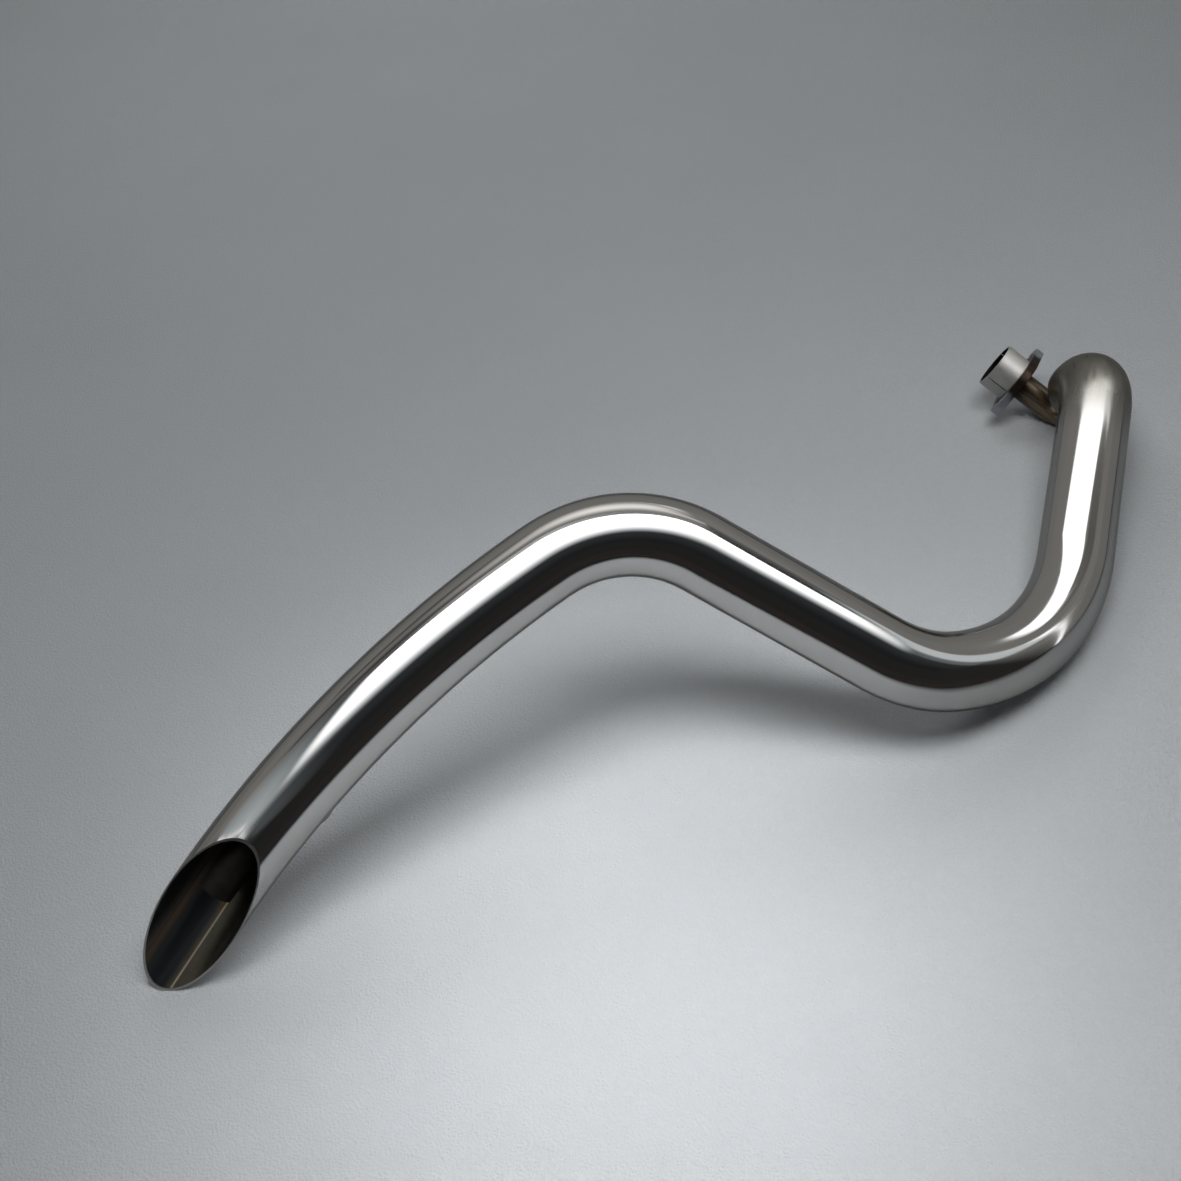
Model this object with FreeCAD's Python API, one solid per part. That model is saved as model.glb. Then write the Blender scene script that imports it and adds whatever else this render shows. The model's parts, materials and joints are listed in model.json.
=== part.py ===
import FreeCAD, Part
import math
import os

# Motorcycle exhaust: a slim gas pipe inside a fat polished cover pipe, with a slash-cut outlet at one end
# and a loose two-bolt flange with split collars at the other. All sizes are in millimetres and degrees.

os.makedirs("parts", exist_ok=True)
Vector = FreeCAD.Vector

# Cover pipe
COVER_OD = 60.5
COVER_WALL = 1.2

# Slash cut at the outlet: angle between cut and pipe axis, and where the tip lies around the pipe
SLASH_ANGLE = 23.5
SLASH_CLOCK = 83.0

# Bend schedule of the cover, walked from the middle of the outlet to the head end
SWEEP_RADIUS = 920.0
SWEEP_ANGLE = 21.9
HUMP_RADIUS = 108.0
HUMP_ANGLE = 63.4
DROP_LENGTH = 153.0
LOWER_TWIST = 148.2
LOWER_TIGHT_RADIUS = 108.0
LOWER_TIGHT_ANGLE = 34.3
LOWER_WIDE_RADIUS = 180.0
LOWER_WIDE_ANGLE = 60.2
RISER_LENGTH = 157.0
ELBOW_TWIST = -105.0
ELBOW_RADIUS = 66.0
ELBOW_ANGLE = 70.3
COVER_LIP = 4.0

# Gas pipe inside the cover
CORE_OD = 25.4
CORE_WALL = 1.5
CORE_SETBACK = 20.0
CORE_SHORT_RISER = 12.7
CORE_ELBOW_TWIST = -112.4
CORE_ELBOW_ANGLE = 79.7
CORE_EXIT = 2.0
HEAD_TWIST = 110.9
HEAD_RADIUS = 25.4
HEAD_ANGLE = 106.0
HEAD_LENGTH = 30.4

# Rings that hold the gas pipe central in the cover
SPACER_THICKNESS = 2.0
SPACER_HOLE_D = 10.0
SPACER_HOLES = 4
TAIL_SPACER_AT = 75.0

# Flange at the engine end
FLANGE_THICKNESS = 8.0
FLANGE_BOLT_SPACING = 60.0
FLANGE_HOLE_D = 8.5
FLANGE_EAR_RADIUS = 10.0
FLANGE_HUB_RADIUS = 25.5
FLANGE_CLOCK = 90.0
FLANGE_EDGE = 0.6
FLANGE_CLEARANCE = 0.5

# Split collars and the ring on the pipe's end that they bear on
COLLAR_OD = 43.0
COLLAR_WALL = 2.4
COLLAR_LENGTH = 23.0
COLLAR_WEB = 5.0
COLLAR_GAP = 1.2
COLLAR_CLOCK = 112.0
LIP_OD = 35.0
LIP_LENGTH = 4.0

# Hanger bracket on the hidden side of the cover
HANGER_AT = 102.0
HANGER_CLOCK = 52.0
HANGER_THICKNESS = 4.0
HANGER_BASE = 44.0
HANGER_REACH = 14.0
HANGER_END_RADIUS = 11.0
HANGER_HOLE_D = 8.5

# Turn about the vertical of the line from outlet tip to flange, once the pipe lies on the floor,
# how finely the skin is sampled to find where the pipe touches the floor, and what counts as level
REST_YAW = 29.0
SKIN_STEPS = 60
FULL_TURN = 360.0
SAME_LEVEL = 0.01

COVER_RADIUS = COVER_OD / 2
COVER_BORE = COVER_RADIUS - COVER_WALL
CORE_RADIUS = CORE_OD / 2


# A centreline walked as a pipe bender does it: straight lengths, twists about the pipe, and bends
class Track:
    def __init__(self, place, heading, inward):
        self.place = place
        self.heading = heading
        self.inward = inward

    def copy(self):
        return Track(self.place, self.heading, self.inward)

    def twist(self, angle):
        self.inward = FreeCAD.Rotation(self.heading, angle).multVec(self.inward)

    def straight(self, length):
        start = self.copy()
        self.place = self.place + self.heading * length
        return ("straight", start, length)

    def bend(self, radius, angle):
        start = self.copy()
        centre = self.place + self.inward * radius
        axis = self.heading.cross(self.inward)
        turn = FreeCAD.Rotation(axis, angle)
        self.place = centre + turn.multVec(start.place - centre)
        self.heading = turn.multVec(start.heading)
        self.inward = turn.multVec(start.inward)
        return ("bend", start, radius, angle)


# The ring-shaped cross-section of a tube, square to the track
def ring_face(track, outer, inner):
    face = Part.Face(Part.Wire(Part.makeCircle(outer, track.place, track.heading)))
    if inner > 0:
        face = face.cut(Part.Face(Part.Wire(Part.makeCircle(inner, track.place, track.heading))))
    return face.Faces[0]


# A tube or rod along a list of straights and bends
def tube(runs, outer, inner):
    solids = []
    for run in runs:
        start = run[1]
        face = ring_face(start, outer, inner)
        if run[0] == "straight":
            solids.append(face.extrude(start.heading * run[2]))
        else:
            centre = start.place + start.inward * run[2]
            axis = start.heading.cross(start.inward)
            solids.append(face.revolve(centre, axis, run[3]))
    whole = solids[0]
    if len(solids) > 1:
        whole = whole.multiFuse(solids[1:])
    return whole.Solids[0]


# A copy of the track moved along a bend by a length of pipe
def along_bend(track, radius, length):
    moved = track.copy()
    moved.bend(radius, math.degrees(length / radius))
    return moved


# Direction square to the pipe, at an angle from the inside of the bend
def side_of(track, clock):
    across = track.heading.cross(track.inward)
    return track.inward * math.cos(math.radians(clock)) + across * math.sin(math.radians(clock))


def cylinder(radius, length, base, axis):
    return Part.makeCylinder(radius, length, base, axis)


# Walk the cover pipe from the middle of the outlet
mouth = Track(Vector(0, 0, 0), Vector(1, 0, 0), Vector(0, 1, 0))
outlet_reach = COVER_RADIUS / math.tan(math.radians(SLASH_ANGLE)) + COVER_RADIUS / 2
stub = mouth.copy()
stub.place = mouth.place - mouth.heading * outlet_reach
outlet_run = stub.straight(outlet_reach)
track = mouth.copy()
sweep = track.bend(SWEEP_RADIUS, SWEEP_ANGLE)
hump = track.bend(HUMP_RADIUS, HUMP_ANGLE)
drop = track.straight(DROP_LENGTH)
track.twist(LOWER_TWIST)
lower_tight = track.bend(LOWER_TIGHT_RADIUS, LOWER_TIGHT_ANGLE)
lower_wide = track.bend(LOWER_WIDE_RADIUS, LOWER_WIDE_ANGLE)
riser = track.straight(RISER_LENGTH)
track.twist(ELBOW_TWIST)
elbow = track.bend(ELBOW_RADIUS, ELBOW_ANGLE)
lip_run = track.straight(COVER_LIP)

# Cover pipe in its three welded lengths
cover_tail = tube([outlet_run, sweep, hump], COVER_RADIUS, COVER_BORE)
cover_middle = tube([drop, lower_tight, lower_wide], COVER_RADIUS, COVER_BORE)
cover_head = tube([riser, elbow, lip_run], COVER_RADIUS, COVER_BORE)

# Slash cut: take off everything on the outlet side of a slanted plane through the middle of the outlet
tip_side = side_of(mouth, SLASH_CLOCK)
slope = math.radians(SLASH_ANGLE)
cut_normal = tip_side * -math.cos(slope) - mouth.heading * math.sin(slope)
saw_size = 2 * outlet_reach
saw = cylinder(saw_size, saw_size, mouth.place, cut_normal)
cover_tail = cover_tail.cut(saw).Solids[0]

# Gas pipe: follows the cover, but turns a little early and a little aside in the elbow
core_start = along_bend(mouth, SWEEP_RADIUS, CORE_SETBACK)
core = core_start.copy()
core_runs = [core.bend(SWEEP_RADIUS, SWEEP_ANGLE - math.degrees(CORE_SETBACK / SWEEP_RADIUS))]
core_runs.append(core.bend(HUMP_RADIUS, HUMP_ANGLE))
core_runs.append(core.straight(DROP_LENGTH))
core.twist(LOWER_TWIST)
core_runs.append(core.bend(LOWER_TIGHT_RADIUS, LOWER_TIGHT_ANGLE))
core_runs.append(core.bend(LOWER_WIDE_RADIUS, LOWER_WIDE_ANGLE))
core_runs.append(core.straight(RISER_LENGTH - CORE_SHORT_RISER))
core.twist(CORE_ELBOW_TWIST)
core_runs.append(core.bend(ELBOW_RADIUS, CORE_ELBOW_ANGLE))
core_pipe = tube(core_runs, CORE_RADIUS, CORE_RADIUS - CORE_WALL)

# Head pipe: a tight elbow butt-welded to the gas pipe inside the cover's mouth
head_exit = core.straight(CORE_EXIT)
core.twist(HEAD_TWIST)
head_bend = core.bend(HEAD_RADIUS, HEAD_ANGLE)
flange_back = core.copy()
flange_back.straight(HEAD_LENGTH)
head_end = core.straight(HEAD_LENGTH + FLANGE_THICKNESS + COLLAR_WEB + LIP_LENGTH)
head_pipe = tube([head_exit, head_bend, head_end], CORE_RADIUS, CORE_RADIUS - CORE_WALL)

# Stations along the port axis, from the flange towards the engine
port = flange_back.heading
flange_front = flange_back.place + port * FLANGE_THICKNESS
lip_back = flange_front + port * COLLAR_WEB

# Ring welded on the pipe's end
lip_ring = cylinder(LIP_OD / 2, LIP_LENGTH, lip_back, port)
lip_ring = lip_ring.cut(cylinder(CORE_RADIUS, LIP_LENGTH, lip_back, port))

# Oval flange: a round hub and two ears joined by straight tangents
ear_way = side_of(flange_back, FLANGE_CLOCK)
ear_across = port.cross(ear_way)
half_spacing = FLANGE_BOLT_SPACING / 2
lean = math.asin((FLANGE_HUB_RADIUS - FLANGE_EAR_RADIUS) / half_spacing)
corners = []
for along, over in ((1, 1), (-1, 1), (-1, -1), (1, -1)):
    tangent = ear_way * (along * math.sin(lean)) + ear_across * (over * math.cos(lean))
    ear_point = flange_back.place + ear_way * (along * half_spacing) + tangent * FLANGE_EAR_RADIUS
    hub_point = flange_back.place + tangent * FLANGE_HUB_RADIUS
    corners += [ear_point, hub_point] if along == over else [hub_point, ear_point]
outline = Part.Face(Part.makePolygon(corners + corners[:1]))
port_flange = outline.extrude(port * FLANGE_THICKNESS)
discs = [cylinder(FLANGE_HUB_RADIUS, FLANGE_THICKNESS, flange_back.place, port)]
for side in (1, -1):
    centre = flange_back.place + ear_way * (side * half_spacing)
    discs.append(cylinder(FLANGE_EAR_RADIUS, FLANGE_THICKNESS, centre, port))
port_flange = port_flange.multiFuse(discs).removeSplitter()
rim_edges = []
for edge in port_flange.Edges:
    level = (edge.valueAt(edge.FirstParameter) - flange_back.place).dot(port)
    level_end = (edge.valueAt(edge.LastParameter) - flange_back.place).dot(port)
    if abs(level - level_end) < SAME_LEVEL:
        rim_edges.append(edge)
port_flange = port_flange.makeChamfer(FLANGE_EDGE, rim_edges)
flange_bore = LIP_OD / 2 + FLANGE_CLEARANCE
drills = [cylinder(flange_bore, FLANGE_THICKNESS, flange_back.place, port)]
for side in (1, -1):
    centre = flange_back.place + ear_way * (side * half_spacing)
    drills.append(cylinder(FLANGE_HOLE_D / 2, FLANGE_THICKNESS, centre, port))
for drill in drills:
    port_flange = port_flange.cut(drill)
port_flange = port_flange.Solids[0]

# Split collar: a cup with its web against the flange, sawn in two
collar = cylinder(COLLAR_OD / 2, COLLAR_LENGTH, flange_front, port)
cup_depth = COLLAR_LENGTH - COLLAR_WEB
collar = collar.cut(cylinder(COLLAR_OD / 2 - COLLAR_WALL, cup_depth, lip_back, port))
collar = collar.cut(cylinder(CORE_RADIUS, COLLAR_WEB, flange_front, port))
split_side = side_of(flange_back, COLLAR_CLOCK)
split_across = port.cross(split_side)
corner = flange_front - split_side * COLLAR_OD - split_across * (COLLAR_GAP / 2)
blade = Part.makePolygon([
    corner,
    corner + split_side * (2 * COLLAR_OD),
    corner + split_side * (2 * COLLAR_OD) + split_across * COLLAR_GAP,
    corner + split_across * COLLAR_GAP,
    corner,
])
halves = collar.cut(Part.Face(blade).extrude(port * COLLAR_LENGTH)).Solids
halves.sort(key=lambda half: half.CenterOfMass.dot(tip_side), reverse=True)
collar_lower = halves[0]
collar_upper = halves[1]


# A flat ring between gas pipe and cover, with round holes through it
def spacer(run, station):
    ring = tube([run], COVER_BORE, CORE_RADIUS)
    circle = (COVER_BORE + CORE_RADIUS) / 2
    for index in range(SPACER_HOLES):
        spot = station.place + side_of(station, FULL_TURN * index / SPACER_HOLES) * circle
        base = spot - station.heading * SPACER_THICKNESS
        ring = ring.cut(cylinder(SPACER_HOLE_D / 2, 3 * SPACER_THICKNESS, base, station.heading))
    return ring.Solids[0]


tail_station = along_bend(mouth, SWEEP_RADIUS, TAIL_SPACER_AT)
tail_run = tail_station.copy().bend(SWEEP_RADIUS, math.degrees(SPACER_THICKNESS / SWEEP_RADIUS))
spacer_tail = spacer(tail_run, tail_station)
middle_station = drop[1].copy()
middle_station.straight(DROP_LENGTH / 2)
spacer_middle = spacer(middle_station.copy().straight(SPACER_THICKNESS), middle_station)
head_station = riser[1].copy()
head_station.straight(RISER_LENGTH / 2)
spacer_head = spacer(head_station.copy().straight(SPACER_THICKNESS), head_station)

# Hanger bracket: a plate standing on the cover along its length, with a rounded end and a bolt hole
hanger = along_bend(mouth, SWEEP_RADIUS, HANGER_AT)
out = side_of(hanger, HANGER_CLOCK)
hinge = hanger.heading.cross(out)
eye = hanger.place + out * (COVER_RADIUS + HANGER_REACH)
back = hinge * (-HANGER_THICKNESS / 2)
foot = hanger.place + out * (COVER_RADIUS - HANGER_THICKNESS)
plate = Part.makePolygon([
    foot - hanger.heading * (HANGER_BASE / 2) + back,
    foot + hanger.heading * (HANGER_BASE / 2) + back,
    eye + hanger.heading * HANGER_END_RADIUS + back,
    eye - hanger.heading * HANGER_END_RADIUS + back,
    foot - hanger.heading * (HANGER_BASE / 2) + back,
])
hanger_plate = Part.Face(plate).extrude(hinge * HANGER_THICKNESS)
hanger_plate = hanger_plate.fuse(cylinder(HANGER_END_RADIUS, HANGER_THICKNESS, eye + back, hinge))
hanger_plate = hanger_plate.cut(cylinder(HANGER_HOLE_D / 2, HANGER_THICKNESS, eye + back, hinge))
hanger_plate = hanger_plate.cut(tube([sweep], COVER_RADIUS, 0)).Solids[0]

parts = {
    "cover_tail": cover_tail,
    "cover_middle": cover_middle,
    "cover_head": cover_head,
    "core_pipe": core_pipe,
    "head_pipe": head_pipe,
    "lip_ring": lip_ring,
    "port_flange": port_flange,
    "collar_upper": collar_upper,
    "collar_lower": collar_lower,
    "spacer_tail": spacer_tail,
    "spacer_middle": spacer_middle,
    "spacer_head": spacer_head,
    "hanger_plate": hanger_plate,
}


# Points on the outside of a bend, close enough together to find where it touches the floor
def skin(bend, radius):
    start, bend_radius, angle = bend[1:]
    points = []
    for step in range(SKIN_STEPS + 1):
        spot = start.copy()
        spot.bend(bend_radius, angle * step / SKIN_STEPS)
        for clock in range(0, 360, 3):
            points.append(spot.place + side_of(spot, clock) * radius)
    return points


def outline_points(shape):
    return [point for edge in shape.Edges for point in edge.discretize(SKIN_STEPS)]


# The pipe lies on three places: the outlet's tip, the lower bend, and the flange or the bend behind it
feet_groups = [
    outline_points(cover_tail),
    skin(lower_tight, COVER_RADIUS) + skin(lower_wide, COVER_RADIUS),
    outline_points(port_flange) + skin(head_bend, CORE_RADIUS),
]
down = tip_side
for attempt in range(40):
    feet = [max(group, key=down.dot) for group in feet_groups]
    normal = (feet[1] - feet[0]).cross(feet[2] - feet[0]).normalize()
    down = normal if normal.dot(down) > 0 else normal * -1

# Turn it so that the floor is level, then put the middle of its footprint at the origin
up = down * -1
line = (feet[2] - feet[0]).normalize()
east = FreeCAD.Rotation(up, -REST_YAW).multVec(line)
north = up.cross(east)
lie = FreeCAD.Matrix(
    east.x, east.y, east.z, 0,
    north.x, north.y, north.z, 0,
    up.x, up.y, up.z, 0,
    0, 0, 0, 1,
)
for name in parts:
    parts[name] = parts[name].transformed(lie)
box = Part.makeCompound(list(parts.values())).optimalBoundingBox(False, False)
shift = Vector(-box.Center.x, -box.Center.y, -box.ZMin)
for name, shape in parts.items():
    shape.translate(shift)
    shape.exportStep("parts/" + name + ".step")
    print(name, "valid" if shape.isValid() else "not valid", round(shape.Volume, 1))
print("size", round(box.XLength, 1), round(box.YLength, 1), round(box.ZLength, 1))
for foot_point in feet:
    print("foot", lie.multVec(foot_point) + shift)
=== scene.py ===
import json
import math

import bpy
from mathutils import Matrix, Vector


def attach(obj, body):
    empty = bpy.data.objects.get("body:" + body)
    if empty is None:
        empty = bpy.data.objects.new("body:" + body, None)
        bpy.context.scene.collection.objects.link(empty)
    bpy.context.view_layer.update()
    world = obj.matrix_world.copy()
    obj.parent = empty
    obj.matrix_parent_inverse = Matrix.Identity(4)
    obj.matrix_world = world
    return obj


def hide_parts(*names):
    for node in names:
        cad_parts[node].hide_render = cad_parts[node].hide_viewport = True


# The looks of a motorcycle exhaust: a slim gas pipe inside a fat polished cover pipe. Metres and degrees.

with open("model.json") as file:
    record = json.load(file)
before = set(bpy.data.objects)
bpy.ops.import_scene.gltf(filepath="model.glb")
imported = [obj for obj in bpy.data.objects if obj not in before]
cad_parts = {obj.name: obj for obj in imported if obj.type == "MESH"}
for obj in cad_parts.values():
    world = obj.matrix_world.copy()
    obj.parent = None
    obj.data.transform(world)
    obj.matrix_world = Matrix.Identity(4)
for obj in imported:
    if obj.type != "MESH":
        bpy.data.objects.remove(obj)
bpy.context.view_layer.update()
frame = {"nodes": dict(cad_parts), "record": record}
mounts = {mount["name"]: mount for mount in frame["record"]["mounts"]}
FLANGE_PLACE = Vector(mounts["port_bolts"]["pos_m"])
PORT_AXIS = Vector(mounts["port_bolts"]["axis"])
HANGER_EYE = Vector(mounts["hanger_hole"]["pos_m"])

# Bend schedule of the cover pipe, from the middle of the slash-cut outlet to the head end
COVER_RADIUS = 0.03025
COVER_WALL = 0.0012
SLASH_ANGLE = 23.5
SLASH_CLOCK = 83.0
SWEEP_RADIUS, SWEEP_ANGLE = 0.920, 21.9
HUMP_RADIUS, HUMP_ANGLE = 0.108, 63.4
DROP_LENGTH = 0.153
LOWER_TWIST = 148.2
LOWER_TIGHT_RADIUS, LOWER_TIGHT_ANGLE = 0.108, 34.3
LOWER_WIDE_RADIUS, LOWER_WIDE_ANGLE = 0.180, 60.2
RISER_LENGTH = 0.157
ELBOW_TWIST = -105.0
ELBOW_RADIUS, ELBOW_ANGLE = 0.066, 70.3
COVER_LIP = 0.004

# Gas pipe at the head end, up to the flange
CORE_SHORT_RISER = 0.0127
CORE_ELBOW_TWIST = -112.4
CORE_ELBOW_ANGLE = 79.7
CORE_EXIT = 0.002
HEAD_TWIST = 110.9
HEAD_RADIUS, HEAD_ANGLE = 0.0254, 106.0
HEAD_LENGTH = 0.0304
FLANGE_THICKNESS = 0.008

# Hanger bracket's hole, seen from the outlet
HANGER_AT = 0.102
HANGER_CLOCK = 52.0
HANGER_REACH = 0.014

# How finely the cover is meshed, how far in the slashed end's rows even out, and how its cut is found
COLUMNS = 144
ROW_STEP = 0.004
SLASH_ROWS = 40
SLASH_REACH = 0.12
EVEN_FROM = 0.09
RIM_BEVEL = 0.00018
HALVINGS = 40
NOTHING_LEFT = 1e-9

# Camera, from the photograph: where it stands, where it looks, and how it is rolled
CAMERA_PLACE = Vector((-0.05711, -0.91625, 0.88314))
CAMERA_AZIMUTH = 90.808
CAMERA_DIP = 41.289
CAMERA_ROLL = 11.278
CAMERA_LENS = 45.72
CAMERA_SENSOR = 36.0


# A centreline walked as a pipe bender does it. The mark is carried along without twisting, for the mesh
class Track:
    def __init__(self, place, heading, inward, mark=None):
        self.place = place.copy()
        self.heading = heading.copy()
        self.inward = inward.copy()
        self.mark = (mark or inward).copy()

    def copy(self):
        return Track(self.place, self.heading, self.inward, self.mark)

    def twist(self, angle):
        self.inward = Matrix.Rotation(math.radians(angle), 3, self.heading) @ self.inward

    def straight(self, length):
        self.place = self.place + self.heading * length

    def bend(self, radius, angle):
        axis = self.heading.cross(self.inward)
        turn = Matrix.Rotation(math.radians(angle), 3, axis)
        centre = self.place + self.inward * radius
        self.place = centre + turn @ (self.place - centre)
        self.heading = turn @ self.heading
        self.inward = turn @ self.inward
        self.mark = turn @ self.mark

    def side(self, clock):
        across = self.heading.cross(self.inward)
        return self.inward * math.cos(math.radians(clock)) + across * math.sin(math.radians(clock))

    def around(self, angle):
        across = self.heading.cross(self.mark)
        return self.mark * math.cos(angle) + across * math.sin(angle)


# One move of the pipe bender: a twist, then a straight or a bend
class Run:
    def __init__(self, length=0.0, radius=0.0, angle=0.0, twist=0.0):
        self.radius = radius
        self.twist = twist
        self.length = length or radius * math.radians(angle)

    def walk(self, track, length):
        track.twist(self.twist)
        if self.radius:
            track.bend(self.radius, math.degrees(length / self.radius))
        else:
            track.straight(length)


SWEEP = Run(radius=SWEEP_RADIUS, angle=SWEEP_ANGLE)
HUMP = Run(radius=HUMP_RADIUS, angle=HUMP_ANGLE)
DROP = Run(length=DROP_LENGTH)
LOWER_TIGHT = Run(radius=LOWER_TIGHT_RADIUS, angle=LOWER_TIGHT_ANGLE, twist=LOWER_TWIST)
LOWER_WIDE = Run(radius=LOWER_WIDE_RADIUS, angle=LOWER_WIDE_ANGLE)
RISER = Run(length=RISER_LENGTH)
ELBOW = Run(radius=ELBOW_RADIUS, angle=ELBOW_ANGLE, twist=ELBOW_TWIST)
LIP = Run(length=COVER_LIP)
COVER_RUNS = [SWEEP, HUMP, DROP, LOWER_TIGHT, LOWER_WIDE, RISER, ELBOW, LIP]
TAIL_END = SWEEP.length + HUMP.length
MIDDLE_END = TAIL_END + DROP.length + LOWER_TIGHT.length + LOWER_WIDE.length
RISER_END = MIDDLE_END + RISER.length
HEAD_END = RISER_END + ELBOW.length + LIP.length


# The track at a length of pipe from the start, before which the pipe runs straight on
def station(start, along):
    track = start.copy()
    if along <= 0:
        track.straight(along)
        return track
    left = along
    for run in COVER_RUNS:
        run.walk(track, min(left, run.length))
        left -= run.length
        if left <= NOTHING_LEFT:
            break
    return track


# Axes from one direction and a second point, as the columns of a matrix
def axes_from(direction, toward):
    first = direction.normalized()
    second = (toward - first * toward.dot(first)).normalized()
    return Matrix((first, second, first.cross(second))).transposed()


# The pipe's place in the frame, from the two mounts that the bend schedule leads to
def placed_mouth():
    mouth = Track(Vector(), Vector((1, 0, 0)), Vector((0, 1, 0)))
    port = station(mouth, RISER_END - CORE_SHORT_RISER)
    port.twist(CORE_ELBOW_TWIST)
    port.bend(ELBOW_RADIUS, CORE_ELBOW_ANGLE)
    port.straight(CORE_EXIT)
    port.twist(HEAD_TWIST)
    port.bend(HEAD_RADIUS, HEAD_ANGLE)
    port.straight(HEAD_LENGTH + FLANGE_THICKNESS / 2)
    hanger = station(mouth, HANGER_AT)
    eye = hanger.place + hanger.side(HANGER_CLOCK) * (COVER_RADIUS + HANGER_REACH)
    turn = axes_from(PORT_AXIS, HANGER_EYE - FLANGE_PLACE)
    turn = turn @ axes_from(port.heading, eye - port.place).transposed()
    place = FLANGE_PLACE - turn @ port.place
    return Track(place, turn @ mouth.heading, turn @ mouth.inward)


MOUTH = placed_mouth()
SLOPE = math.radians(SLASH_ANGLE)
CUT_NORMAL = -MOUTH.side(SLASH_CLOCK) * math.cos(SLOPE) - MOUTH.heading * math.sin(SLOPE)
ANGLES = [2 * math.pi * column / COLUMNS for column in range(COLUMNS)]


def on_pipe(along, angle, radius):
    track = station(MOUTH, along)
    return track.place + track.around(angle) * radius


# Where a line along the pipe wall meets the slash cut
def slash_start(angle, radius):
    low, high = -SLASH_REACH, SLASH_REACH
    for halving in range(HALVINGS):
        middle = (low + high) / 2
        if (on_pipe(middle, angle, radius) - MOUTH.place).dot(CUT_NORMAL) > 0:
            low = middle
        else:
            high = middle
    return (low + high) / 2


# Points, outward directions and own coordinates of one wall, row by row
class Wall:
    def __init__(self, start, end, slashed, radius):
        self.points = []
        rows = []
        if slashed:
            set_back = RIM_BEVEL / math.sin(SLOPE)
            starts = [slash_start(angle, radius) + set_back for angle in ANGLES]
            for step in range(SLASH_ROWS):
                share = step / SLASH_ROWS
                rows.append([first + (EVEN_FROM - first) * share for first in starts])
            start = EVEN_FROM
        steps = round((end - start) / ROW_STEP)
        rows += [[start + (end - start) * step / steps] * COLUMNS for step in range(steps + 1)]
        self.rows = len(rows)
        for row in rows:
            tracks = {along: station(MOUTH, along) for along in set(row)}
            for angle, along in zip(ANGLES, row):
                out = tracks[along].around(angle)
                self.points.append((tracks[along].place + out * radius, out, angle, along))


# A closed tube mesh: outer wall, far end, inner wall and near end, with the pipe's own coordinates on it
def tube_mesh(name, start, end, slashed):
    outer = Wall(start, end, slashed, COVER_RADIUS)
    inner = Wall(start, end, slashed, COVER_RADIUS - COVER_WALL)
    points = outer.points + inner.points
    inner_base = len(outer.points)
    rim_base = len(points)
    for radius in (COVER_RADIUS - RIM_BEVEL, COVER_RADIUS - COVER_WALL + RIM_BEVEL):
        for angle in ANGLES:
            along = slash_start(angle, radius) if slashed else start
            points.append((on_pipe(along, angle, radius), Vector(), angle, along))
    faces, kinds = [], []

    def strip(first, second, kind):
        for column in range(COLUMNS):
            after = (column + 1) % COLUMNS
            faces.append((first + column, first + after, second + after, second + column))
            kinds.append(kind)

    for row in range(outer.rows - 1):
        strip(row * COLUMNS, (row + 1) * COLUMNS, 0)
    for row in range(inner.rows - 1):
        strip(inner_base + (row + 1) * COLUMNS, inner_base + row * COLUMNS, 1)
    strip((outer.rows - 1) * COLUMNS, inner_base + (inner.rows - 1) * COLUMNS, 2)
    strip(inner_base, rim_base + COLUMNS, 2)
    strip(rim_base + COLUMNS, rim_base, 2)
    strip(rim_base, 0, 2)
    mesh = bpy.data.meshes.new(name)
    mesh.from_pydata([point[0] for point in points], [], faces)
    own = mesh.attributes.new("pipe", "FLOAT_VECTOR", "POINT")
    own_values = []
    for place, out, angle, along in points:
        own_values += [math.cos(angle), math.sin(angle), along]
    own.data.foreach_set("vector", own_values)
    mesh.update()
    normals = []
    for polygon, kind in zip(mesh.polygons, kinds):
        polygon.material_index = kind
        polygon.use_smooth = True
        for corner in polygon.vertices:
            out = points[corner][1]
            normals.append((out, -out, polygon.normal)[kind])
    mesh.normals_split_custom_set(normals)
    piece = bpy.data.objects.new(name, mesh)
    bpy.context.scene.collection.objects.link(piece)
    return piece


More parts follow.
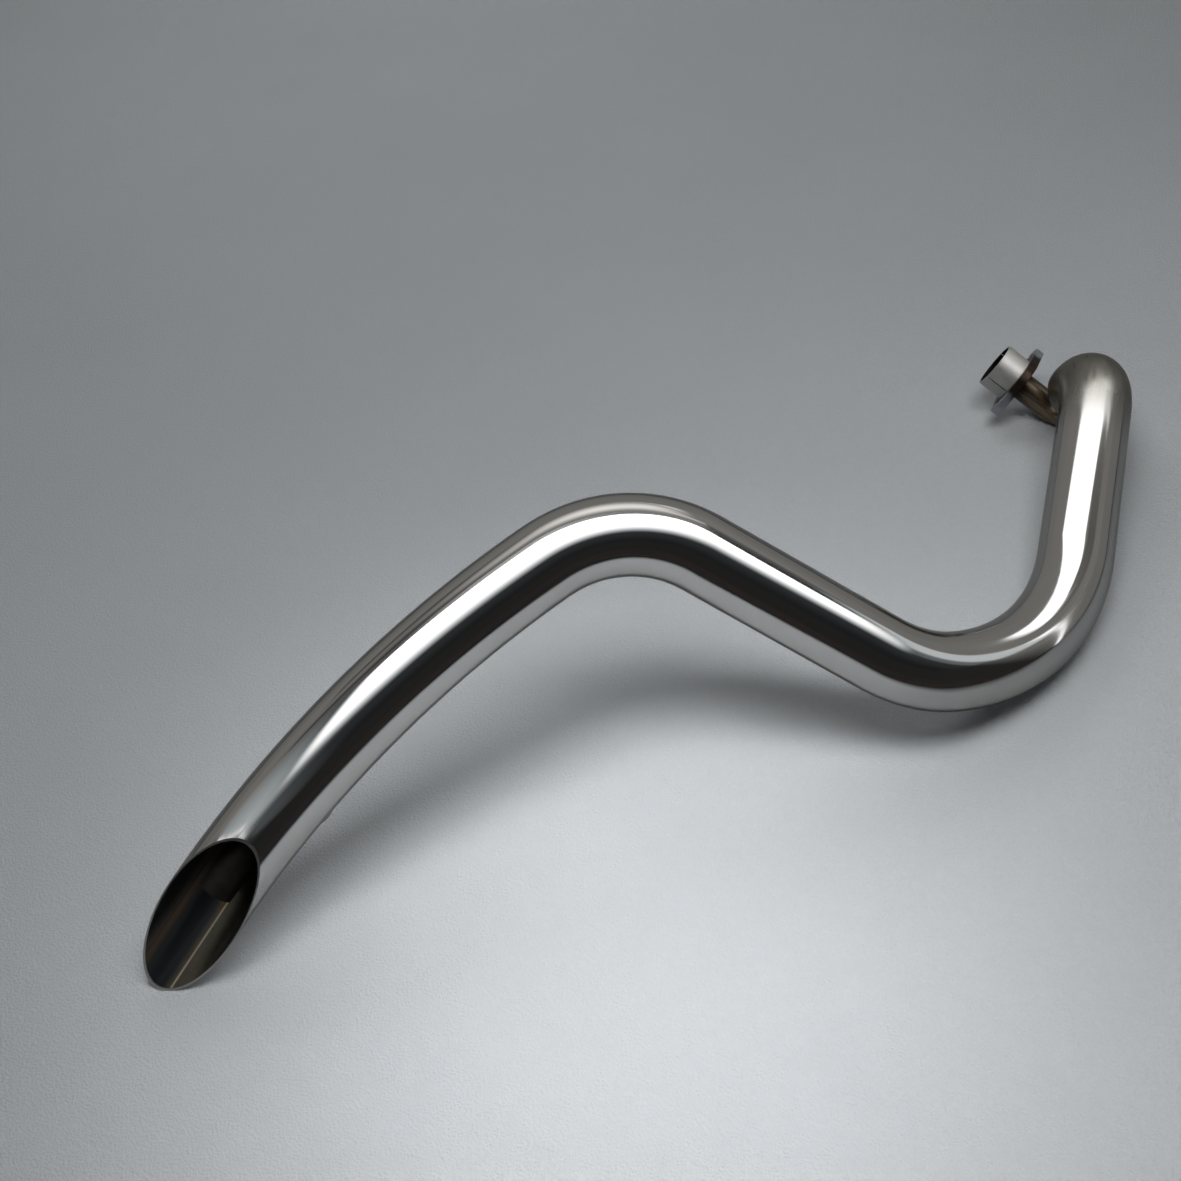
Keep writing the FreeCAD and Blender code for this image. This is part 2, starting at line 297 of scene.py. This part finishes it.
# Small helpers for node materials
class Nodes:
    def __init__(self, name):
        self.material = bpy.data.materials.new(name)
        self.material.use_nodes = True
        self.tree = self.material.node_tree
        self.shader = self.tree.nodes["Principled BSDF"]

    def add(self, kind, **settings):
        node = self.tree.nodes.new(kind)
        for key, value in settings.items():
            setattr(node, key, value)
        return node

    def feed(self, value, socket):
        if isinstance(value, (int, float, tuple, Vector)):
            socket.default_value = value
        else:
            self.tree.links.new(value, socket)

    def set(self, name, value):
        self.feed(value, self.shader.inputs[name])

    def math(self, operation, first, second):
        node = self.add("ShaderNodeMath", operation=operation)
        self.feed(first, node.inputs[0])
        self.feed(second, node.inputs[1])
        return node.outputs[0]

    def vector(self, operation, first, second=None, scale=None):
        node = self.add("ShaderNodeVectorMath", operation=operation)
        self.feed(first, node.inputs[0])
        if second is not None:
            self.feed(second, node.inputs[1])
        if scale is not None:
            self.feed(scale, node.inputs["Scale"])
        return node.outputs["Value" if operation in ("DOT_PRODUCT", "LENGTH") else "Vector"]

    def span(self, value, low, high, to_low=0.0, to_high=1.0):
        node = self.add("ShaderNodeMapRange", interpolation_type="SMOOTHSTEP")
        self.feed(value, node.inputs["Value"])
        node.inputs["From Min"].default_value = low
        node.inputs["From Max"].default_value = high
        node.inputs["To Min"].default_value = to_low
        node.inputs["To Max"].default_value = to_high
        return node.outputs["Result"]

    def fall(self, value, low, high):
        return self.span(value, low, high, 1.0, 0.0)

    # One inside a band, falling to nought over the soft width at both its sides
    def band(self, value, low, high, soft):
        return self.math("MULTIPLY", self.span(value, low - soft, low), self.fall(value, high, high + soft))

    def product(self, *factors):
        total = factors[0]
        for factor in factors[1:]:
            total = self.math("MULTIPLY", total, factor)
        return total

    def highest(self, *parts):
        total = parts[0]
        for part in parts[1:]:
            total = self.math("MAXIMUM", total, part)
        return total

    def mix(self, factor, first, second):
        node = self.add("ShaderNodeMix", data_type="RGBA")
        self.feed(factor, node.inputs["Factor"])
        self.feed(first, node.inputs["A"])
        self.feed(second, node.inputs["B"])
        return node.outputs["Result"]

    def noise(self, vector, scale, detail=2.0, roughness=0.5):
        node = self.add("ShaderNodeTexNoise")
        self.feed(vector, node.inputs["Vector"])
        node.inputs["Scale"].default_value = scale
        node.inputs["Detail"].default_value = detail
        node.inputs["Roughness"].default_value = roughness
        return node.outputs["Fac"]

    def bump(self, height, strength, distance):
        node = self.add("ShaderNodeBump")
        self.feed(height, node.inputs["Height"])
        node.inputs["Strength"].default_value = strength
        node.inputs["Distance"].default_value = distance
        self.set("Normal", node.outputs["Normal"])

    def own(self):
        return self.add("ShaderNodeAttribute", attribute_name="pipe").outputs["Vector"]

    def split(self, vector):
        node = self.add("ShaderNodeSeparateXYZ")
        self.feed(vector, node.inputs[0])
        return node.outputs

    def place(self):
        return self.add("ShaderNodeTexCoord").outputs["Object"]

    # Distance from the port's axis, distance along it, and coordinates stretched along it
    def port(self, around_scale, along_scale):
        reach = self.vector("SUBTRACT", self.place(), FLANGE_PLACE)
        along = self.vector("DOT_PRODUCT", reach, PORT_AXIS)
        across = self.vector("SUBTRACT", reach, self.vector("SCALE", PORT_AXIS, scale=along))
        lengthways = self.vector("SCALE", PORT_AXIS, scale=self.math("MULTIPLY", along, along_scale))
        stretched = self.vector("ADD", self.vector("SCALE", across, scale=around_scale), lengthways)
        return self.vector("LENGTH", across), along, stretched


# Polished stainless steel, with faint polishing lines along the pipe, dulled on the elbow at the head end
DULL_FROM, DULL_TO = 0.985, 1.055


def polished_steel():
    n = Nodes("polished_steel")
    own = n.own()
    along = n.split(own)["Z"]
    lines = n.noise(n.vector("MULTIPLY", own, (30.0, 30.0, 4.0)), 1.0, 3.0)
    clouds = n.noise(n.vector("MULTIPLY", own, (1.4, 1.4, 9.0)), 1.0, 2.0)
    scuffs = n.noise(n.vector("MULTIPLY", own, (6.0, 6.0, 60.0)), 1.0, 4.0, 0.6)
    dull = n.span(along, DULL_FROM, DULL_TO)
    steel = n.mix(clouds, (0.53, 0.525, 0.515, 1), (0.60, 0.595, 0.585, 1))
    brown = n.mix(scuffs, (0.24, 0.23, 0.205, 1), (0.33, 0.315, 0.285, 1))
    n.set("Base Color", n.mix(dull, steel, brown))
    # Low edge tint: reflections near the outline are darker, painted shade on the floor the pipe reflects
    n.set("Specular Tint", (0.55, 0.545, 0.53, 1))
    n.set("Metallic", 1.0)
    polish = n.span(lines, 0.3, 0.7, 0.055, 0.105)
    scuffing = n.span(scuffs, 0.3, 0.7, 0.20, 0.30)
    n.set("Roughness", n.math("ADD", polish, n.math("MULTIPLY", dull, scuffing)))
    n.bump(lines, 0.012, 0.0003)
    return n.material


# Inside of the cover: sooted steel with the tube's weld seam as a ridge carrying a painted glint, a bright
# line, and painted reflected light on one side of it
SEAM_ANGLE = 63.5
SEAM_HALF = 0.7
LIT_SIDE_FROM, LIT_SIDE_TO = SEAM_ANGLE - 34, SEAM_ANGLE - 2
STAIN_FROM, STAIN_TO = 117.0, 128.0
BURN_FROM, BURN_TO = 62.0, 72.0


def soot_and_painted_light_inside():
    n = Nodes("soot_and_painted_light_inside")
    own = n.own()
    cosine, sine, along = n.split(own).values()
    turn = n.math("MULTIPLY", n.math("ARCTAN2", sine, cosine), math.degrees(1))
    streaks = n.noise(n.vector("MULTIPLY", own, (9.0, 9.0, 7.0)), 1.0, 3.0)
    spots = n.noise(n.vector("MULTIPLY", own, (5.0, 5.0, 160.0)), 1.0, 3.0, 0.6)
    wander = n.math("MULTIPLY", n.math("SUBTRACT", streaks, 0.5), 6.0)
    soot = n.mix(streaks, (0.035, 0.042, 0.052, 1), (0.085, 0.085, 0.085, 1))
    # Painted reflected light on the inner wall, in a band on one side of the seam
    lit_side_colour = n.mix(spots, (0.17, 0.15, 0.11, 1), (0.36, 0.32, 0.24, 1))
    wavy_turn = n.math("ADD", turn, wander)
    lit_side = n.band(wavy_turn, LIT_SIDE_FROM, LIT_SIDE_TO, 16.0)
    colour = n.mix(n.math("MULTIPLY", lit_side, 0.75), soot, lit_side_colour)
    stain = n.product(n.band(wavy_turn, STAIN_FROM, STAIN_TO, 14.0), n.span(streaks, 0.3, 0.7))
    colour = n.mix(stain, colour, (0.13, 0.085, 0.05, 1))
    burn = n.math("MULTIPLY", n.band(turn, BURN_FROM, BURN_TO, 6.0), n.band(along, 0.012, 0.030, 0.012))
    colour = n.mix(n.math("MULTIPLY", burn, n.span(spots, 0.35, 0.6)), colour, (0.24, 0.11, 0.04, 1))
    # Painted glint: the weld seam's ridge, from the bump below, is drawn as a bright line of colour
    seam = n.band(turn, SEAM_ANGLE - SEAM_HALF, SEAM_ANGLE + SEAM_HALF, 1.4)
    seam_glint = n.math("MULTIPLY", seam, n.span(spots, 0.2, 0.5, 0.5, 1.0))
    n.set("Base Color", n.mix(seam_glint, colour, (0.78, 0.66, 0.47, 1)))
    n.set("Metallic", 1.0)
    dullness = n.span(streaks, 0.3, 0.7, 0.34, 0.46)
    n.set("Roughness", n.math("SUBTRACT", dullness, n.math("MULTIPLY", lit_side, 0.06)))
    n.bump(n.math("ADD", n.math("MULTIPLY", streaks, 0.2), seam), 0.3, 0.0004)
    return n.material


# Cut edge of the tube
def cut_edge():
    n = Nodes("cut_edge")
    grain = n.noise(n.place(), 300.0, 2.0)
    n.set("Base Color", n.mix(grain, (0.50, 0.49, 0.475, 1), (0.58, 0.57, 0.555, 1)))
    n.set("Metallic", 1.0)
    n.set("Roughness", 0.3)
    return n.material


# Gas pipe at the head end: browned by heat in streaks along the pipe, black beside the flange
def heat_tinted_steel():
    n = Nodes("heat_tinted_steel")
    radius, along, stretched = n.port(260.0, 30.0)
    streaks = n.noise(stretched, 1.0, 4.0, 0.6)
    blotches = n.noise(n.place(), 110.0, 3.0, 0.6)
    fine = n.noise(n.place(), 900.0, 2.0)
    brown = n.mix(n.span(streaks, 0.3, 0.72), (0.07, 0.052, 0.038, 1), (0.30, 0.24, 0.165, 1))
    rust = n.math("MULTIPLY", n.span(blotches, 0.52, 0.68), n.span(streaks, 0.4, 0.6))
    colour = n.mix(n.math("MULTIPLY", rust, 0.7), brown, (0.26, 0.13, 0.05, 1))
    black = n.span(along, -0.020, -0.004)
    n.set("Base Color", n.mix(n.math("MULTIPLY", black, 0.9), colour, (0.014, 0.011, 0.009, 1)))
    n.set("Metallic", 1.0)
    n.set("Roughness", n.span(streaks, 0.3, 0.7, 0.40, 0.30))
    n.bump(fine, 0.10, 0.0002)
    return n.material


# Soot on the gas pipe and its spacers, darkened past soot into painted shade deep inside the cover: dull and
# almost black, with a little rust showing through
def soot_and_painted_shade():
    n = Nodes("soot_and_painted_shade")
    clouds = n.noise(n.place(), 130.0, 4.0, 0.6)
    fine = n.noise(n.place(), 1200.0, 2.0)
    rust = n.span(clouds, 0.35, 0.75)
    # Painted shade: near black, darker than soot alone
    n.set("Base Color", n.mix(rust, (0.003, 0.0025, 0.002, 1), (0.012, 0.008, 0.005, 1)))
    n.set("Metallic", 0.6)
    n.set("Roughness", n.span(fine, 0.2, 0.8, 0.55, 0.75))
    n.bump(fine, 0.2, 0.0003)
    return n.material


# Split collars: turned steel with fine rings around the port's axis, sooted in the cup
CUP_RADIUS = 0.0195
CUP_EDGE = 0.0006


def turned_steel():
    n = Nodes("turned_steel")
    radius, along, stretched = n.port(60.0, 1500.0)
    rings = n.noise(stretched, 1.0, 3.0)
    clouds = n.noise(n.place(), 80.0, 4.0, 0.6)
    shade = n.math("MULTIPLY", n.math("ADD", rings, clouds), 0.5)
    steel = n.mix(shade, (0.38, 0.375, 0.36, 1), (0.60, 0.59, 0.57, 1))
    outside = n.span(radius, CUP_RADIUS, CUP_RADIUS + CUP_EDGE)
    n.set("Base Color", n.mix(outside, (0.014, 0.012, 0.010, 1), steel))
    n.set("Metallic", 1.0)
    n.set("Roughness", n.span(rings, 0.3, 0.7, 0.42, 0.56))
    n.bump(rings, 0.10, 0.0003)
    return n.material


# Flange: grey plated ears, near black-brown around the pipe
HUB_RADIUS = 0.027
EAR_RADIUS = 0.032


def plated_steel():
    n = Nodes("plated_steel")
    radius, along, stretched = n.port(200.0, 60.0)
    clouds = n.noise(n.place(), 120.0, 4.0, 0.6)
    fine = n.noise(n.place(), 1500.0, 2.0)
    plate = n.mix(clouds, (0.27, 0.29, 0.33, 1), (0.46, 0.48, 0.53, 1))
    # Near black-brown within the hub, around the pipe
    hub_dark = n.mix(n.noise(stretched, 1.0, 3.0), (0.012, 0.010, 0.009, 1), (0.06, 0.042, 0.032, 1))
    wander = n.math("MULTIPLY", n.math("SUBTRACT", clouds, 0.5), 0.006)
    outward = n.span(n.math("ADD", radius, wander), HUB_RADIUS, EAR_RADIUS)
    n.set("Base Color", n.mix(outward, hub_dark, plate))
    n.set("Metallic", 1.0)
    n.set("Roughness", n.span(fine, 0.2, 0.8, 0.30, 0.44))
    n.bump(fine, 0.15, 0.0002)
    return n.material


# Bracket: the cover's steel, less polished
def bracket_steel():
    n = Nodes("bracket_steel")
    clouds = n.noise(n.place(), 90.0, 4.0, 0.6)
    fine = n.noise(n.place(), 1400.0, 2.0)
    n.set("Base Color", n.mix(clouds, (0.44, 0.435, 0.425, 1), (0.58, 0.575, 0.565, 1)))
    n.set("Metallic", 1.0)
    n.set("Roughness", n.span(fine, 0.2, 0.8, 0.14, 0.26))
    n.bump(fine, 0.1, 0.0002)
    return n.material


# Pale sheet with a fine leather-like grain
def pale_floor():
    n = Nodes("pale_floor")
    place = n.place()
    clouds = n.noise(place, 3.0, 3.0)
    cells = n.add("ShaderNodeTexVoronoi")
    n.feed(place, cells.inputs["Vector"])
    cells.inputs["Scale"].default_value = 520.0
    grain = n.noise(place, 700.0, 2.0)
    n.set("Base Color", n.mix(clouds, (0.595, 0.62, 0.64, 1), (0.655, 0.68, 0.70, 1)))
    n.set("Roughness", 0.6)
    n.set("Specular IOR Level", 0.0)
    n.bump(n.math("ADD", cells.outputs["Distance"], n.math("MULTIPLY", grain, 0.5)), 0.8, 0.001)
    return n.material


def dress(node, material):
    mesh = frame["nodes"][node].data
    mesh.materials.clear()
    mesh.materials.append(material)


# Cover pipe in its three welded lengths
COVER_MATERIALS = (polished_steel(), soot_and_painted_light_inside(), cut_edge())
COVER_PIECES = [
    ("cover_tail", 0.0, TAIL_END, True),
    ("cover_middle", TAIL_END, MIDDLE_END, False),
    ("cover_head", MIDDLE_END, HEAD_END, False),
]
for node, start, end, slashed in COVER_PIECES:
    piece = tube_mesh(node + "_skin", start, end, slashed)
    for material in COVER_MATERIALS:
        piece.data.materials.append(material)
    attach(piece, "root")
    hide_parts(node)

# The other pieces keep their solids
HEAT = heat_tinted_steel()
TURNED = turned_steel()
SOOT_AND_SHADE = soot_and_painted_shade()
for node in ("head_pipe", "lip_ring"):
    dress(node, HEAT)
for node in ("collar_upper", "collar_lower"):
    dress(node, TURNED)
for node in ("core_pipe", "spacer_tail", "spacer_middle", "spacer_head"):
    dress(node, SOOT_AND_SHADE)
dress("port_flange", plated_steel())
dress("hanger_plate", bracket_steel())

# Floor
FLOOR_SIZE = 12.0
bpy.ops.mesh.primitive_plane_add(size=FLOOR_SIZE)
floor = bpy.context.object
floor.name = "floor"
floor.data.materials.append(pale_floor())


# A flat sheet that only reflections show, as a photographer sets cards around polished metal
def reflection_card(name, points, faces):
    mesh = bpy.data.meshes.new(name)
    mesh.from_pydata(points, [], faces)
    card = bpy.data.objects.new(name, mesh)
    bpy.context.scene.collection.objects.link(card)
    card.visible_camera = False
    card.visible_diffuse = False
    card.visible_shadow = False
    card.visible_transmission = False
    card.visible_volume_scatter = False
    nodes = Nodes(name)
    nodes.set("Base Color", (0.0, 0.0, 0.0, 1))
    nodes.set("Specular IOR Level", 0.0)
    mesh.materials.append(nodes.material)
    return card, nodes


# Dark card on the floor in front, fading out towards the object and thin behind its edge, where it lays
# painted shade over the floor as the pipe reflects it
CARD_EDGE = [
    (-6.0, -0.75), (-0.6, -0.52), (0.0, -0.42), (0.13, -0.33), (0.25, -0.26), (0.45, -0.22), (6.0, -0.3),
]
CARD_FADE = 0.12
CARD_THIN = 0.3
CARD_BACK, CARD_FRONT = 6.0, -6.0
CARD_LIFT = 0.0004


def dark_card():
    count = len(CARD_EDGE)
    rows = [[(x, CARD_BACK) for x, y in CARD_EDGE], CARD_EDGE]
    rows += [[(x, y - CARD_FADE) for x, y in CARD_EDGE], [(x, CARD_FRONT) for x, y in CARD_EDGE]]
    points = [(x, y, CARD_LIFT) for row in rows for x, y in row]
    starts = [row * count + column for row in range(len(rows) - 1) for column in range(count - 1)]
    faces = [(start, start + count, start + count + 1, start + 1) for start in starts]
    card, n = reflection_card("dark_card", points, faces)
    shade = card.data.attributes.new("shade", "FLOAT", "POINT")
    # Painted shade: behind the edge the card darkens the reflected floor by 30 %
    shade.data.foreach_set("value", [CARD_THIN] * count * 2 + [1.0] * count * 2)
    n.set("Alpha", n.add("ShaderNodeAttribute", attribute_name="shade").outputs["Fac"])
    patches = n.span(n.noise(n.place(), 5.0, 2.0), 0.35, 0.65)
    n.set("Emission Color", n.mix(patches, (0.018, 0.021, 0.027, 1), (0.040, 0.030, 0.022, 1)))
    n.set("Emission Strength", 1.0)


dark_card()

# Ceiling with two soft boxes, as the polished pipe shows them. Each pair is where a fade starts and ends
CEILING_HEIGHT = 1.2
CEILING_REACH = 3.0
PLAIN_LIGHT, WARM_LIGHT, COOL_LIGHT = (1.0, 1.0, 1.0, 1), (1.0, 0.985, 0.93, 1), (0.88, 0.96, 1.0, 1)

# Front box: it fades towards the camera and to the right, and its back edge slants
FRONT_WHITE = 4.0
FRONT_FADE_Y = (-1.2, -0.1)
FRONT_BACK_Y = (0.02, 0.04)
FRONT_SLANT_X, FRONT_SLANT = (0.65, 1.5), 0.24
FRONT_LEFT_X = (-0.98, -0.74)
FRONT_RIGHT_X = (1.3, 1.85)

# Grey screen left of it: its bright edge follows the higher of two slanted lines, each through a point
SCREEN_SLOPE, SCREEN_POINT = 1.11, (-2.0, 0.2)
SCREEN_STEEP_SLOPE, SCREEN_STEEP_POINT = 2.0, (-0.9, -1.2)
SCREEN_GREY, SCREEN_DEPTH, SCREEN_DARK = 0.62, 1.1, 0.09
SCREEN_START = (0.0, 0.03)
SCREEN_LEFT_X, SCREEN_LEFT_SHARE = (-2.4, -1.0), 0.4
SCREEN_RIGHT_X, SCREEN_RIGHT_SHARE = (-0.7, 0.2), 0.2
SCREEN_FRONT_Y, SCREEN_FRONT_SHARE = (-1.3, -0.85), 0.2
EDGE_WHITE = 1.5
EDGE_BAND, EDGE_SOFT = (0.01, 0.05), 0.015
EDGE_X, EDGE_SOFT_X = (-1.75, -0.95), 0.25

# Back box: it is even, and its front edge steps back on the right
BACK_WHITE = 2.2
BACK_FRONT_Y = (0.21, 0.25)
BACK_STEP_X, BACK_STEP = (0.7, 1.35), 0.30
BACK_REAR_Y = (1.08, 1.16)
BACK_LEFT_X = (-0.6, -0.1)
BACK_RIGHT_X = (1.7, 1.95)

# Greys between, behind, beside and in front of the boxes
GREY_FROM_Y = (0.03, 0.05)
GAP_REAR_Y = (0.45, 0.5)
GAP_LEFT_X, GAP_LEFT_GREY, GAP_GREY = (-0.9, -0.4), 0.12, 0.6
GAP_MIDDLE_X, GAP_MIDDLE_SHARE = (-0.3, 0.4), 0.5
GAP_RIGHT_X, GAP_RIGHT_SHARE = (0.9, 1.3), 0.25
REAR_Y, REAR_NEAR_GREY, REAR_FAR_GREY = (0.05, 0.8), 0.10, 0.24
BESIDE_X, BESIDE_GREY = (1.5, 1.9), 0.2
BESIDE_FRONT_Y = (-1.1, -0.8)
BESIDE_LIFT_Y, BESIDE_LIFT = (-0.6, -0.4), 4.0
BESIDE_DROP_Y, BESIDE_DROP = (0.1, 0.2), 0.3
DIM_Y, DIM_FRONT, DIM_BACK = (-2.3, -1.1), 0.02, 0.04


def ceiling():
    corners = [(-1, -1), (1, -1), (1, 1), (-1, 1)]
    points = [(x * CEILING_REACH, y * CEILING_REACH, CEILING_HEIGHT) for x, y in corners]
    card, n = reflection_card("ceiling", points, [(0, 1, 2, 3)])
    x, y, z = n.split(n.place()).values()
    back_edge = n.math("ADD", y, n.span(x, *FRONT_SLANT_X, 0.0, FRONT_SLANT))
    front = n.product(
        n.span(y, *FRONT_FADE_Y), n.fall(back_edge, *FRONT_BACK_Y),
        n.span(x, *FRONT_LEFT_X), n.fall(x, *FRONT_RIGHT_X), FRONT_WHITE)

    def above_line(slope, point):
        rise = n.math("MULTIPLY", n.math("SUBTRACT", x, point[0]), slope)
        return n.math("ADD", rise, n.math("SUBTRACT", y, point[1]))

    inside = n.highest(
        above_line(SCREEN_SLOPE, SCREEN_POINT), above_line(SCREEN_STEEP_SLOPE, SCREEN_STEEP_POINT))
    screen = n.product(
        n.span(inside, *SCREEN_START), n.span(inside, 0.0, SCREEN_DEPTH, SCREEN_GREY, SCREEN_DARK),
        n.span(x, *SCREEN_LEFT_X, SCREEN_LEFT_SHARE, 1.0),
        n.span(y, *SCREEN_FRONT_Y, SCREEN_FRONT_SHARE, 1.0),
        n.span(x, *SCREEN_RIGHT_X, 1.0, SCREEN_RIGHT_SHARE))
    edge = n.product(n.band(inside, *EDGE_BAND, EDGE_SOFT), n.band(x, *EDGE_X, EDGE_SOFT_X), EDGE_WHITE)
    front_edge = n.math("SUBTRACT", y, n.span(x, *BACK_STEP_X, 0.0, BACK_STEP))
    back = n.product(
        n.span(front_edge, *BACK_FRONT_Y), n.fall(y, *BACK_REAR_Y),
        n.span(x, *BACK_LEFT_X), n.fall(x, *BACK_RIGHT_X), BACK_WHITE)
    gap = n.product(
        n.span(y, *GREY_FROM_Y), n.fall(y, *GAP_REAR_Y), n.span(x, *GAP_LEFT_X, GAP_LEFT_GREY, GAP_GREY),
        n.span(x, *GAP_MIDDLE_X, 1.0, GAP_MIDDLE_SHARE), n.span(x, *GAP_RIGHT_X, 1.0, GAP_RIGHT_SHARE))
    behind = n.product(n.span(y, *GREY_FROM_Y), n.span(y, *REAR_Y, REAR_NEAR_GREY, REAR_FAR_GREY))
    beside = n.product(
        n.span(x, *BESIDE_X, 0.0, BESIDE_GREY), n.span(y, *BESIDE_FRONT_Y),
        n.span(y, *BESIDE_LIFT_Y, 1.0, BESIDE_LIFT), n.span(y, *BESIDE_DROP_Y, 1.0, BESIDE_DROP))
    dim = n.span(y, *DIM_Y, DIM_FRONT, DIM_BACK)
    total = n.highest(dim, front, screen, edge, back, gap, behind, beside)
    warm = n.math("MULTIPLY", n.fall(total, 0.25, 0.9), n.span(y, 0.0, 0.3))
    cool = n.math("MULTIPLY", n.fall(total, 0.3, 1.5), n.fall(y, 0.0, 0.2))
    n.set("Emission Color", n.mix(cool, n.mix(warm, PLAIN_LIGHT, WARM_LIGHT), COOL_LIGHT))
    n.set("Emission Strength", total)


ceiling()


def flat_card(name, edge, height):
    card, n = reflection_card(name, [(x, y, height) for x, y in edge], [tuple(range(len(edge)))])
    return n


# A dim flag that keeps the back box off the top of the hump
FLAG_HEIGHT = 0.5
FLAG_EDGE = [(-0.7, -0.02), (0.36, -0.02), (0.36, 0.10), (0.28, 0.17), (0.20, 0.25), (-0.7, 0.26)]


def hump_flag():
    n = flat_card("flag", FLAG_EDGE, FLAG_HEIGHT)
    x, y, z = n.split(n.place()).values()
    rise = n.span(y, -0.01, 0.09, 0.3, 1.3)
    fall = n.span(y, 0.09, 0.27, 1.0, 0.22)
    sides = n.math("MULTIPLY", n.span(x, -0.45, 0.0, 0.18, 1.0), n.span(x, 0.2, 0.5, 1.0, 0.45))
    n.set("Emission Color", (1.0, 0.975, 0.935, 1))
    n.set("Emission Strength", n.product(rise, fall, sides))


# A lower one, with a soft left end, does the same for the straight drop
DROP_FLAG_HEIGHT = 0.33
DROP_FLAG_SOFT_X = (0.03, 0.16)
DROP_FLAG_GREY = 0.27
DROP_FLAG_EDGE = [
    (0.02, -0.03), (0.50, -0.03), (0.46, 0.03), (0.38, 0.045), (0.30, 0.09), (0.24, 0.10), (0.02, 0.10),
]


def drop_flag():
    n = flat_card("drop_flag", DROP_FLAG_EDGE, DROP_FLAG_HEIGHT)
    x, y, z = n.split(n.place()).values()
    n.set("Alpha", n.span(x, *DROP_FLAG_SOFT_X))
    n.set("Emission Color", WARM_LIGHT)
    n.set("Emission Strength", DROP_FLAG_GREY)


hump_flag()
drop_flag()

# Bright leaning slit between two screens on the right
SLIT_PLACE = Vector((1.77, -0.37, 0.0))
SLIT_WIDTH = 0.05
SLIT_TOP = 0.85
SLIT_LEAN = 0.42
SLIT_WHITE = 2.0


def slit():
    corners = [(0, 0), (SLIT_WIDTH, 0), (SLIT_LEAN + SLIT_WIDTH, SLIT_TOP), (SLIT_LEAN, SLIT_TOP)]
    points = [SLIT_PLACE + Vector((0, aside, up)) for aside, up in corners]
    card, n = reflection_card("slit", points, [(0, 1, 2, 3)])
    n.set("Emission Color", PLAIN_LIGHT)
    n.set("Emission Strength", SLIT_WHITE)


slit()


# Overhead light for the floor: a rectangle facing down, not seen in reflections
def light_panel(name, centre, size, height, radiance, spread):
    light = bpy.data.lights.new(name, "AREA")
    light.shape = "RECTANGLE"
    light.size, light.size_y = size
    light.spread = math.radians(spread)
    light.energy = radiance * math.pi * light.size * light.size_y
    panel = bpy.data.objects.new(name, light)
    panel.location = (centre[0], centre[1], height)
    panel.visible_camera = False
    panel.visible_glossy = False
    bpy.context.scene.collection.objects.link(panel)


light_panel("gridded_box", (-0.10, -0.33), (0.25, 0.5), 1.2, 1.25, 37.6)
light_panel("key_box", (0.18, -0.47), (0.9, 0.40), 1.3, 7.7, 180.0)
light_panel("fill_box", (-0.2, 1.8), (1.6, 1.6), 2.0, 1.8, 180.0)

# Surroundings by azimuth: grey walls behind and beside the object, and a dark room in front of it
WALLS = [
    (-180, 0.14), (-160, 0.07), (-135, 0.020), (-16, 0.025), (-4, 0.20), (40, 0.22), (90, 0.25), (150, 0.20),
]
WALL_TINT = (1.0, 0.985, 0.93)
DIM_ROOM = (0.054, 0.056, 0.058, 1)


def surroundings():
    world = bpy.data.worlds.new("studio")
    bpy.context.scene.world = world
    world.use_nodes = True
    tree = world.node_tree
    coordinates = tree.nodes.new("ShaderNodeTexCoord")
    split = tree.nodes.new("ShaderNodeSeparateXYZ")
    tree.links.new(coordinates.outputs["Generated"], split.inputs[0])
    turn = tree.nodes.new("ShaderNodeMath")
    turn.operation = "ARCTAN2"
    tree.links.new(split.outputs["Y"], turn.inputs[0])
    tree.links.new(split.outputs["X"], turn.inputs[1])
    share = tree.nodes.new("ShaderNodeMapRange")
    share.inputs["From Min"].default_value = -math.pi
    share.inputs["From Max"].default_value = math.pi
    tree.links.new(turn.outputs[0], share.inputs["Value"])
    ramp = tree.nodes.new("ShaderNodeValToRGB")
    tree.links.new(share.outputs["Result"], ramp.inputs["Fac"])
    while len(ramp.color_ramp.elements) < len(WALLS):
        ramp.color_ramp.elements.new(0.5)
    for element, (azimuth, grey) in zip(ramp.color_ramp.elements, WALLS):
        element.position = (azimuth + 180) / 360
        element.color = [grey * tint for tint in WALL_TINT] + [1.0]
    # Reflections show the walls, and the floor's light comes from the dim room
    rays = tree.nodes.new("ShaderNodeLightPath")
    plain = tree.nodes.new("ShaderNodeMix")
    plain.data_type = "RGBA"
    plain.inputs["A"].default_value = DIM_ROOM
    tree.links.new(rays.outputs["Is Glossy Ray"], plain.inputs["Factor"])
    tree.links.new(ramp.outputs["Color"], plain.inputs["B"])
    tree.links.new(plain.outputs["Result"], tree.nodes["Background"].inputs["Color"])


surroundings()
bpy.context.scene.view_settings.view_transform = "Standard"


# Camera at the photograph's viewing angle
def camera_from_photo():
    camera_data = bpy.data.cameras.new("camera")
    camera_data.lens = CAMERA_LENS
    camera_data.sensor_width = CAMERA_SENSOR
    camera = bpy.data.objects.new("camera", camera_data)
    bpy.context.scene.collection.objects.link(camera)
    azimuth, dip, roll = (math.radians(angle) for angle in (CAMERA_AZIMUTH, CAMERA_DIP, CAMERA_ROLL))
    forward = Vector((math.cos(azimuth) * math.cos(dip), math.sin(azimuth) * math.cos(dip), -math.sin(dip)))
    level = Vector((math.sin(azimuth), -math.cos(azimuth), 0))
    right = level * math.cos(roll) - level.cross(forward) * math.sin(roll)
    turned = Matrix((right, right.cross(forward), -forward)).transposed()
    camera.matrix_world = Matrix.Translation(CAMERA_PLACE) @ turned.to_4x4()
    bpy.context.scene.camera = camera


camera_from_photo()
